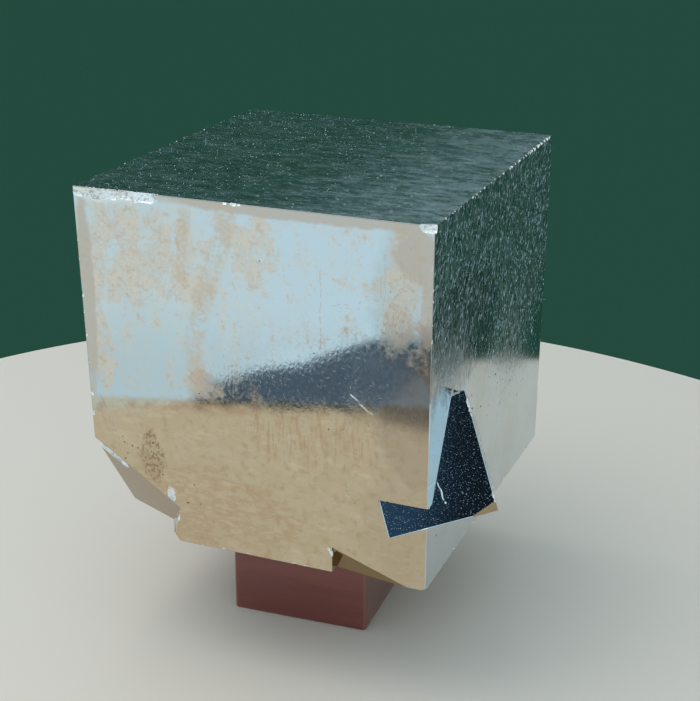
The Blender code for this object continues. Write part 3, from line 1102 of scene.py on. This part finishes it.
# The lower part is duller than the cleaned middle. Where the front mirrors the slate card, it keeps
# clear of stains, so that the mirrored patch stays dark.
dull = wires.ramp(wires.plus(level, wires.times(broad_mottle, 8)), 33, 22)
dull = wires.higher(dull, stain((35.5, 0, 28), (4, 9, 11), 0.8))
mirrors_dark = stain((29.5, 0, 20), (10.5, 9, 4.8), 0.3)
dull = wires.times(dull, wires.minus(1.0, mirrors_dark))
stained = wires.times(stained, wires.minus(1.0, wires.times(mirrors_dark, 0.85)))

# Drops that dried on the face left rings at the upper left.
drops = wires.stretched(place, (0.55, 0.1, 0.5))
spots = wires.node("ShaderNodeTexVoronoi", {"feature": "SMOOTH_F1"}, Vector=drops, Randomness=1.0)
ring = wires.plus(spots.outputs["Distance"], wires.times(fine_mottle, 0.12))
ring = wires.times(wires.ramp(ring, 0.36, 0.42), wires.ramp(ring, 0.5, 0.44))
ring = wires.times(ring, stain((6.0, 0, 30.5), (5.5, 9, 5.5), 1.0))
runs = wires.highest(path(points, width) for points, width in RUNS)
runs = wires.times(runs, wires.ramp(wires.plus(islands, fine_mottle), 0.8, 1.1))
outlines = wires.highest(path(points, OUTLINE_WIDTH) for points in OUTLINES)
print("with the front's stains:", len(pyrite.node_tree.nodes), "nodes")

# %% [markdown]
# Below the line where the floor's image begins, the base colour is painted golden, a painted
# reflection of the floor: banded level with the foot on the left, finely streaked upright under the
# scuffed part, darker beside the right edge.

# %% The foot, with a painted reflection of the floor
LIGHT_BRASS, BRASS, PALE_BRASS = (0.66, 0.56, 0.41, 1), (0.64, 0.53, 0.37, 1), (0.74, 0.64, 0.48, 1)
LOW_TAN, BLOTCH_TAN = (0.57, 0.42, 0.27, 1), (0.5, 0.35, 0.22, 1)
SHORE_TAN, EDGE_BRASS = (0.52, 0.33, 0.21, 1), (0.46, 0.37, 0.28, 1)
# Painted reflection: below this line, where the front mirrors the floor, the base colour turns golden.
split = wires.plus(wires.minus(level, wires.times(across, 0.13)), wires.times(broad_mottle, 1.2))
floor_reflection_zone = wires.ramp(split, 15.9, 15.1)
streaks = wires.noise(wires.stretched(place, (0.35, 0.3, 1.1)), 1.0, 4.0, 0.6)
upright = wires.noise(wires.stretched(place, (2.6, 0.3, 0.35)), 1.0, 4.0, 0.6)
blotches = wires.noise(place, 0.9, 5.0, 0.68)
banded = wires.times(wires.ramp(streaks, 0.42, 0.6), stain((12.0, 0, 4.5), (14, 9, 5.0), 0.8))
streaked = wires.times(wires.ramp(upright, 0.48, 0.6), stain((25.5, 0, 14.5), (8.0, 9, 3.4), 0.8))
shore_line = wires.times(path(SHORE_LINE, SHORE_WIDTH), wires.ramp(broad_mottle, 0.4, 0.6, 0.2, 1.0))
low_right = wires.times(stain((36.5, 0, 6.5), (5.5, 9, 9.0), 0.8), 0.5)
low_right = wires.higher(stain((37.6, 0, 16.5), (5.5, 9, 6.5), 0.3), low_right)
foot_bands_and_reflection = wires.mix(wires.ramp(broad_mottle, 0.42, 0.6), BRASS, LIGHT_BRASS)
foot_bands_and_reflection = layered(foot_bands_and_reflection, [(banded, 0.8, LOW_TAN), (streaked, 0.8, LOW_TAN)])
foot_bands_and_reflection = wires.mix(wires.ramp(streaks, 0.53, 0.66, 0.0, 0.6), foot_bands_and_reflection, PALE_BRASS)
foot_bands_and_reflection = wires.mix(wires.ramp(blotches, 0.5, 0.66, 0.0, 0.45), foot_bands_and_reflection, BLOTCH_TAN)
foot_bands_and_reflection = layered(foot_bands_and_reflection, [(shore_line, 0.85, SHORE_TAN), (low_right, 0.55, EDGE_BRASS)])
print("with the foot:", len(pyrite.node_tree.nodes), "nodes")

# %% The front's colour
SILVER, FILM_TAN, DULL_GREY = (0.67, 0.68, 0.65, 1), (0.77, 0.63, 0.48, 1), (0.55, 0.55, 0.5, 1)
TAN, RUST_TAN, DARK_TAN = (0.86, 0.57, 0.37, 1), (0.62, 0.41, 0.27, 1), (0.62, 0.4, 0.26, 1)
RIM_TAN, RUN_TAN = (0.62, 0.45, 0.33, 1), (0.7, 0.46, 0.3, 1)
BROWN, CRUST = (0.3, 0.2, 0.12, 1), (0.93, 0.8, 0.68, 1)
front_colour = layered(SILVER, [
    (film, 0.5, FILM_TAN), (dull, 0.7, DULL_GREY), (stained, 0.55, TAN), (browner, 0.45, RUST_TAN),
    (shore, 0.14, DARK_TAN), (ring, 0.3, DARK_TAN), (bands, 0.8, RIM_TAN), (runs, 0.6, RUN_TAN),
])
# Below the floor's image line, the front takes the painted floor reflection with its tan bands.
front_colour = wires.mix(floor_reflection_zone, front_colour, foot_bands_and_reflection)
front_colour = wires.mix(wires.ramp(fine_mottle, 0.6, 0.72, 0.0, 0.35), front_colour, DARK_TAN)
brown_patch = stain((7.6, 0, 9.2), (1.5, 9, 3.0), 1.2)
scribbles = wires.noise(wires.stretched(place, (3.2, 1, 2.0)), 1.0, 3.0, 0.65)
crust = stain((3.8, 0, 37.6), (5.4, 9, 1.5), 1.8)
front_colour = layered(front_colour, [
    (outlines, 0.6, DARK_TAN), (brown_patch, wires.ramp(scribbles, 0.5, 0.57, 0.15, 0.75), BROWN),
    (crust, 0.9, CRUST),
])
print("with the front's colour:", len(pyrite.node_tree.nodes), "nodes")

# %% [markdown]
# ## The other faces, the breaks and the scratches
#
# The other faces keep an even, cooler metal, lined along their growth. The imprints are a dark
# brass, darkened further by painted shade for the shaded floor that they mirror, rubbed edges are
# dull, and fresh breaks are pale.

# %% The other faces' colour
COOL, COOL_DULL, DARK_LINE = (0.64, 0.7, 0.72, 1), (0.6, 0.63, 0.62, 1), (0.14, 0.18, 0.2, 1)
STEEP_TURN = (0.64, 0, 0)
lined, top, right = (wires.attribute(name) for name in ("lined", "top", "right"))
clouds = wires.noise(place, 0.16, 4.0, 0.6)
top_lines = wires.noise(wires.stretched(place, (0.45, 1.1, 1.0)), 1.0, 9.0, 0.72)
side_lines = wires.noise(wires.stretched(place, (1.0, 3.0, 0.6), STEEP_TURN), 1.0, 5.0, 0.7)
side_foot = wires.times(stain((38, 9, 24.5), (9, 13, 6.5), 1.2), right)
darker = wires.times(wires.ramp(top_lines, 0.45, 0.32, 0.0, 0.6), top)
darker = wires.higher(darker, wires.times(wires.ramp(side_lines, 0.5, 0.36), lined))
darker = wires.higher(darker, wires.times(side_foot, wires.ramp(side_lines, 0.62, 0.42, 0.35, 1.0)))
other_colour = wires.mix(wires.ramp(clouds, 0.4, 0.65), COOL, COOL_DULL)
other_colour = wires.mix(wires.times(darker, 0.8), other_colour, DARK_LINE)
print("with the other faces:", len(pyrite.node_tree.nodes), "nodes")

# %% Imprints, edges, breaks and pits
IMPRINT_BRASS_AND_SHADE, RUBBED, IN_PITS = (0.32, 0.22, 0.115, 1), (0.42, 0.37, 0.31, 1), (0.2, 0.15, 0.1, 1)
FRESH, FRESH_SHADE, SMOOTH = (0.95, 0.9, 0.84, 1), (0.66, 0.62, 0.58, 1), (0.43, 0.34, 0.22, 1)
rubbed_edge, broken, pit = (wires.attribute(name) for name in ("rubbed_edge", "broken", "pit"))
break_mottle = wires.ramp(wires.noise(place, 3.0, 2.0, 0.5), 0.52, 0.66)
# The imprints' dark brass is partly painted shade: these faces look down and mirror the shaded floor.
colour = wires.mix(wires.attribute("imprint"), other_colour, IMPRINT_BRASS_AND_SHADE)
colour = wires.mix(front, colour, front_colour)
colour = wires.mix(rubbed_edge, colour, RUBBED)
colour = wires.mix(broken, colour, wires.mix(break_mottle, FRESH, FRESH_SHADE))
colour = wires.mix(pit, colour, IN_PITS)
colour = wires.mix(wires.attribute("smooth_break"), colour, SMOOTH)
print("with the breaks:", len(pyrite.node_tree.nodes), "nodes")

# %% Scratches
WHITE_LINE = (0.9, 0.9, 0.88, 1)
twin_front = wires.attribute("twin_front")
scratches = wires.times(wires.highest(scratch(*row) for row in FRONT_SCRATCHES), front)
hairline = wires.highest(
    scratch(start, end, HAIRLINE_WIDTH) for start, end in zip(TWIN_HAIRLINE, TWIN_HAIRLINE[1:])
)
hairline = wires.times(hairline, twin_front)
scratches = wires.higher(scratches, hairline)
colour = wires.mix(hairline, colour, WHITE_LINE)
print("with the scratches:", len(pyrite.node_tree.nodes), "nodes")

# %% [markdown]
# ## How sharp each part mirrors
#
# A clean facet is a sharp mirror, a tarnished or lined one a soft one, and a break hardly mirrors
# at all. Each part raises the roughness to its own value, and growth lines are set as relief.

# %% Roughness
roughness = wires.ramp(fine_mottle, 0.3, 0.75, 0.03, 0.09)
tarnish = wires.higher(wires.times(stained, 0.1), wires.times(crust, 0.4))
soft_end = stain((35.0, 0, 20.5), (6.5, 9, 5.0), 0.4)
tarnish = wires.higher(tarnish, wires.times(soft_end, 0.035))
roughness = wires.plus(roughness, wires.times(tarnish, front))
duller = wires.plus(across, wires.times(clouds, 16))
top_rough = wires.ramp(top_lines, 0.34, 0.7, 0.13, 0.26)
top_rough = wires.plus(top_rough, wires.ramp(duller, 24.0, 45.0, 0.0, 0.1))
speckles = wires.noise(wires.stretched(place, (2.6, 1.6, 1.7)), 1.0, 5.0, 0.7)
for mask, least in (
    (top, top_rough), (lined, wires.ramp(side_lines, 0.36, 0.64, 0.18, 0.44)), (right, 0.11),
    (twin_front, wires.ramp(speckles, 0.54, 0.7, 0.0, 0.11)),
    (rubbed_edge, 0.35), (broken, 0.55), (pit, 0.6), (scratches, 0.4),
):
    roughness = wires.higher(roughness, wires.times(mask, least))
print("with the roughness:", len(pyrite.node_tree.nodes), "nodes")

# %% Relief
# Each row has how the noise is stretched, how it is turned and how high it stands.
LINES = [
    ("lined", (1.0, 5.0, 0.9), STEEP_TURN, 2.0),
    ("top", (0.8, 3.0, 1.0), (0, 0, 0), 0.3),
    ("front", (1.6, 1.0, 0.9), (0, 0, 0), 0.06),
    ("scuffed", (3.0, 1.0, 2.0), (0, 0.6, 0), 0.35),
    ("dashed", (4.5, 1.0, 0.7), (0, 0, 0), 0.35),
    ("left", (1.0, 3.0, 0.35), (-0.22, 0, 0), 0.9),
    ("back", (0.3, 1.0, 3.0), (0, 0, 0), 0.7),
    ("twin_front", (4.0, 3.0, 3.0), (0, 0.6, 0), 0.7),
]
height = 0.0
for mask, scale, turn, strength in LINES:
    lines = wires.noise(wires.stretched(place, scale, turn), 1.0, 3.0, 0.6)
    weighted = wires.times(wires.times(lines, wires.attribute(mask)), strength)
    height = wires.plus(height, weighted)
height = wires.minus(height, wires.times(scratches, 1.2))
lumps = wires.times(wires.times(crust, front), wires.noise(place, 3.0, 3.0, 0.6))
height = wires.plus(height, wires.times(lumps, 2.5))
bump = wires.node("ShaderNodeBump", Strength=0.35, Distance=0.03 * MM, Height=height)
metal = wires.node(
    "ShaderNodeBsdfPrincipled", Metallic=1.0, Base_Color=colour, Roughness=roughness,
    Normal=bump.outputs[0],
)
wires.node("ShaderNodeOutputMaterial", Surface=metal.outputs[0])
print("pyrite shader nodes:", len(pyrite.node_tree.nodes))

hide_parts("pyrite_cube")
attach(pyrite_crystal, "root")

# %% [markdown]
# ## The block
#
# A sawn cube of hardwood, sanded, stained red-brown and varnished. Its edges were broken with
# sandpaper, so they are slightly uneven and the stain is thinner on them.

# %% The block's shape
half = BLOCK_SIDE / 2
SEGMENTS, SUBDIVISIONS, LONG_EDGE = 3, 15, 5
GRAIN_PATTERN, GRAIN_DEPTH, SANDED = Vector((0.5, 0.5, 0.12)), 0.03, 0.02
WEAR_PATTERN, WEAR_DEPTH, FLAT_END = 0.6, 0.015, 0.01
SHARP_EDGE = math.radians(20)

block = as_object("stand_wood", box((-half, -half, 0), (half, half, BLOCK_HEIGHT)))
bevelled(block, BLOCK_EDGE_ROUND, SEGMENTS)
shape = bmesh.new()
shape.from_mesh(block.data)
long_edges = [edge for edge in shape.edges if edge.calc_length() > LONG_EDGE]
bmesh.ops.subdivide_edges(shape, edges=long_edges, cuts=SUBDIVISIONS, use_grid_fill=True)
bmesh.ops.triangulate(shape, faces=shape.faces[:])
shape.normal_update()
for vertex in shape.verts:
    grain = noise.noise(vertex.co * GRAIN_PATTERN + Vector((7, 3, 1)))
    wear = noise.noise(vertex.co * WEAR_PATTERN)
    if FLAT_END < vertex.co.z < BLOCK_HEIGHT - FLAT_END:
        vertex.co += vertex.normal * (GRAIN_DEPTH * grain - SANDED + WEAR_DEPTH * wear)
for face in shape.faces:
    face.smooth = True
for edge in shape.edges:
    edge.smooth = len(edge.link_faces) == 2 and edge.calc_face_angle(0) < SHARP_EDGE
place_block = Matrix.Scale(MM, 4) @ Matrix.Rotation(BLOCK_YAW, 4, "Z")
bmesh.ops.transform(shape, matrix=place_block, verts=shape.verts[:])
shape.to_mesh(block.data)
shape.free()
print("block triangles:", sum(len(p.vertices) - 2 for p in block.data.polygons))

# %% [markdown]
# The stain sinks into the fibres and the pores, and less into the sanded edges. The varnish over it
# is a clear coat, smoother than the wood, so the block has a soft highlight over a dull red.

# %% Stained and varnished wood
RED, LIGHT_RED = (0.155, 0.021, 0.014, 1), (0.195, 0.031, 0.021, 1)
FIBRE_RED, PORE_RED, WORN_RED = (0.17, 0.05, 0.036, 1), (0.05, 0.012, 0.01, 1), (0.3, 0.09, 0.05, 1)
wood = bpy.data.materials.new("stained_wood")
wood.use_nodes = True
wood.node_tree.nodes.clear()
wires = Wires(wood.node_tree)
where = wires.node("ShaderNodeTexCoord").outputs["Object"]
local = wires.node(
    "ShaderNodeMapping", {"vector_type": "TEXTURE"}, Vector=where, Rotation=(0, 0, BLOCK_YAW),
    Scale=(MM, MM, MM),
).outputs[0]
fibres = wires.noise(wires.stretched(local, (0.35, 5.0, 5.0)), 1.0, 5.0, 0.6)
bands = wires.noise(wires.stretched(local, (0.05, 0.7, 0.5)), 1.0, 3.0, 0.5)
pores = wires.noise(wires.stretched(local, (0.9, 9.0, 9.0)), 1.0, 2.0, 0.5)
axes = wires.node("ShaderNodeSeparateXYZ", Vector=local)
from_sides = [
    wires.minus(half, wires.math("ABSOLUTE", axes.outputs[axis], 0.0)) for axis in ("X", "Y")
]
thin_stain = wires.ramp(wires.higher(*from_sides), 0.45, 0.1, 0.0, 0.7)
colour = wires.mix(wires.ramp(bands, 0.35, 0.65), RED, LIGHT_RED)
colour = wires.mix(wires.ramp(fibres, 0.4, 0.8, 0.0, 0.5), colour, FIBRE_RED)
colour = wires.mix(wires.ramp(pores, 0.62, 0.75, 0.0, 0.6), colour, PORE_RED)
colour = wires.mix(thin_stain, colour, WORN_RED)
relief = wires.minus(fibres, wires.ramp(pores, 0.6, 0.75))
bump = wires.node("ShaderNodeBump", Strength=0.25, Distance=0.05 * MM, Height=relief)
varnish = wires.node(
    "ShaderNodeBsdfPrincipled", Base_Color=colour, Normal=bump.outputs[0],
    Roughness=wires.ramp(fibres, 0.3, 0.8, 0.32, 0.48), Coat_Weight=1.0, Coat_Roughness=0.14,
)
wires.node("ShaderNodeOutputMaterial", Surface=varnish.outputs[0])
block.data.materials.clear()
block.data.materials.append(wood)
print("wood shader nodes:", len(wood.node_tree.nodes))

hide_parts("stand_block")
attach(block, "root")

# %% [markdown]
# ## What the mirrors see
#
# A polished crystal shows its surroundings more than itself. The floor is a plain pale disc, a
# little flatter at the back right, and its edge is the line that crosses the front and the right
# side. Behind stands a plain green backdrop, and a few plain cards in front give the metal the dark
# patches that it mirrors. All of them are stage only.

# %% Plain surroundings
def plain_material(name, colour, glow=False):
    """A dull surface, or one that glows evenly with its colour."""
    made = bpy.data.materials.new(name)
    made.use_nodes = True
    shader = made.node_tree.nodes["Principled BSDF"]
    shader.inputs["Roughness"].default_value = 0.9
    shader.inputs["Specular IOR Level"].default_value = 0.2
    shader.inputs["Base Color"].default_value = (0, 0, 0, 1) if glow else (*colour, 1)
    if glow:
        shader.inputs["Emission Color"].default_value = (*colour, 1)
        shader.inputs["Emission Strength"].default_value = 1.0
    return made


def staged(name, solid, material):
    mesh = bpy.data.meshes.new(name)
    solid.to_mesh(mesh)
    solid.free()
    mesh.materials.append(material)
    obj = bpy.data.objects.new(name, mesh)
    bpy.context.scene.collection.objects.link(obj)
    return obj


# The rim is drawn in around one direction, by a share of the radius that fades to both sides.
FLOOR_RADIUS, FLOOR_THICKNESS = 91.2 * MM, 25 * MM
FLOOR_CENTRE = Vector((0.2, 1.5, 0)) * MM
FLAT_DIRECTION, FLAT_SPREAD, FLAT_SHARE = 68, 32, 0.058
solid = bmesh.new()
bmesh.ops.create_cone(
    solid, cap_ends=True, segments=256, radius1=FLOOR_RADIUS, radius2=FLOOR_RADIUS,
    depth=FLOOR_THICKNESS, matrix=Matrix.Translation(FLOOR_CENTRE - Vector((0, 0, FLOOR_THICKNESS / 2))),
)
for vertex in solid.verts:
    spot = vertex.co - FLOOR_CENTRE
    away = (math.degrees(math.atan2(spot.y, spot.x)) - FLAT_DIRECTION) / FLAT_SPREAD
    vertex.co.xy -= spot.xy * FLAT_SHARE * math.exp(-away * away)
floor = staged("floor", solid, plain_material("pale floor", (0.81, 0.67, 0.56)))
print("floor's width in millimetres:", round(floor.dimensions.x / MM, 1))

# %% Backdrop
# The half of a tall tube that stands behind the crystal.
BACK_RADIUS, BACK_LOW, BACK_HIGH = 330 * MM, -260 * MM, 240 * MM
FRONT_LIMIT = -0.1 * BACK_RADIUS
solid = bmesh.new()
bmesh.ops.create_cone(
    solid, cap_ends=False, segments=128, radius1=BACK_RADIUS, radius2=BACK_RADIUS,
    depth=BACK_HIGH - BACK_LOW, matrix=Matrix.Translation((0, 0, (BACK_HIGH + BACK_LOW) / 2)),
)
front_half = [face for face in solid.faces if face.calc_center_median().y < FRONT_LIMIT]
bmesh.ops.delete(solid, geom=front_half, context="FACES")
green = plain_material("dark backdrop", (0.014, 0.062, 0.042), glow=True)
backdrop = staged("backdrop", solid, green)
print("backdrop faces:", len(backdrop.data.polygons))

# %% Cards on the floor
def card(name, outline, material):
    solid = bmesh.new()
    solid.faces.new([solid.verts.new(Vector(p) * MM) for p in outline])
    return staged(name, solid, material)


def floor_card(name, outline, height, colour):
    """A card that lies a hair above the floor, before the crystal."""
    corners = [(x, y, height) for x, y in outline]
    card(name, corners, plain_material(name.replace("_", " "), colour, glow=True))
    print(name, "corners:", len(corners))


SLATE_OUTLINE = [
    (-40.5, -80), (-41.5, -86), (-36.8, -95), (-31.5, -101), (-28.8, -107), (-24.4, -116),
    (-15.7, -120), (-10, -120), (-10, -87), (-18.3, -86), (-30, -82),
]
GREY_OUTLINE = [(-13, -86), (-11, -119), (-4, -123), (14, -123), (14, -82), (-4, -84)]
floor_card("slate_card", SLATE_OUTLINE, 0.3, (0.07, 0.11, 0.16))
floor_card("grey_card", GREY_OUTLINE, 0.4, (0.18, 0.2, 0.22))

# %% [markdown]
# ## Camera
#
# The camera stands close to the crystal, a little to its right and above. Its place and lens come
# from the cube's own corners and edges.

# %% The camera's place
CAMERA_PLACE = Vector((78.4, -119.1, 73.8))
CAMERA_RIGHT = Vector((0.9255, 0.37874, 0.00118))
CAMERA_UP = Vector((-0.13683, 0.33143, 0.9335))
CAMERA_BACK = Vector((0.35317, -0.86412, 0.35856))
camera = bpy.data.objects.new("camera", bpy.data.cameras.new("camera"))
bpy.context.scene.collection.objects.link(camera)
turn = Matrix((CAMERA_RIGHT, CAMERA_UP, CAMERA_BACK)).transposed().to_4x4()
camera.matrix_world = Matrix.Translation(crystal_place @ CAMERA_PLACE) @ turn
camera.data.sensor_fit = "HORIZONTAL"
camera.data.sensor_width = 36.0
camera.data.lens = 74.66
camera.data.clip_start = 0.005
camera.data.clip_end = 5.0
bpy.context.scene.camera = camera
print("camera in millimetres:", tuple(round(c / MM) for c in camera.matrix_world.translation))

# %% [markdown]
# The small crystal's front looks straight back at the camera. Two dark cards stand side by side a
# little way behind the camera, a black one and a navy one, so that this face mirrors them.

# %% Cards behind the camera
CARD_BACK, CARD_LEFT, CARD_UP, CARD_REACH = 0.192, 0.026, 0.009, 0.034
cube_middle = crystal_place @ Vector((19, 20, 19))
card_middle = cube_middle + CAMERA_BACK * CARD_BACK - CAMERA_RIGHT * CARD_LEFT + CAMERA_UP * CARD_UP
reach_right, reach_up = CAMERA_RIGHT * CARD_REACH, CAMERA_UP * CARD_REACH
for name, from_side, to_side, tint in (
    ("black_card", 0.05, 1.0, (0.004, 0.009, 0.016)),
    ("navy_card", -1.0, 0.05, (0.022, 0.055, 0.1)),
):
    outline = [(from_side, -1), (to_side, -1), (to_side, 1), (from_side, 1)]
    corners = [card_middle + along * reach_right + up * reach_up for along, up in outline]
    material = plain_material(name.replace("_", " "), tint, glow=True)
    card(name, [tuple(c / MM for c in corner) for corner in corners], material)
    print(name, "middle:", tuple(round(c / MM) for c in sum(corners, Vector()) / len(corners)))

# %% [markdown]
# ## Light
#
# Soft light as under a bright overcast sky: the world glows pale all round, and one wide panel
# overhead gives the floor its shadow and the broken edges their sparkle.

# %% Sky and panel
world = bpy.data.worlds.new("studio")
bpy.context.scene.world = world
world.use_nodes = True
sky = world.node_tree.nodes["Background"]
sky.inputs["Color"].default_value = (0.67, 0.90, 1.06, 1)
sky.inputs["Strength"].default_value = 1.0

panel = bpy.data.objects.new("panel", bpy.data.lights.new("panel", "AREA"))
bpy.context.scene.collection.objects.link(panel)
panel.data.shape = "RECTANGLE"
panel.data.size, panel.data.size_y = 0.34, 0.26
panel.data.energy = 0.42
panel.data.color = (1.0, 0.98, 0.95)
panel.location = (-0.12, -0.06, 0.36)
panel.rotation_euler = (-panel.location).to_track_quat("-Z", "Y").to_euler()
bpy.context.scene.view_settings.view_transform = "Standard"
print("panel over the crystal at", tuple(round(c, 2) for c in panel.location))

# %% [markdown]
# ## Size
#
# The dressed part should fill the same box as the packed model.
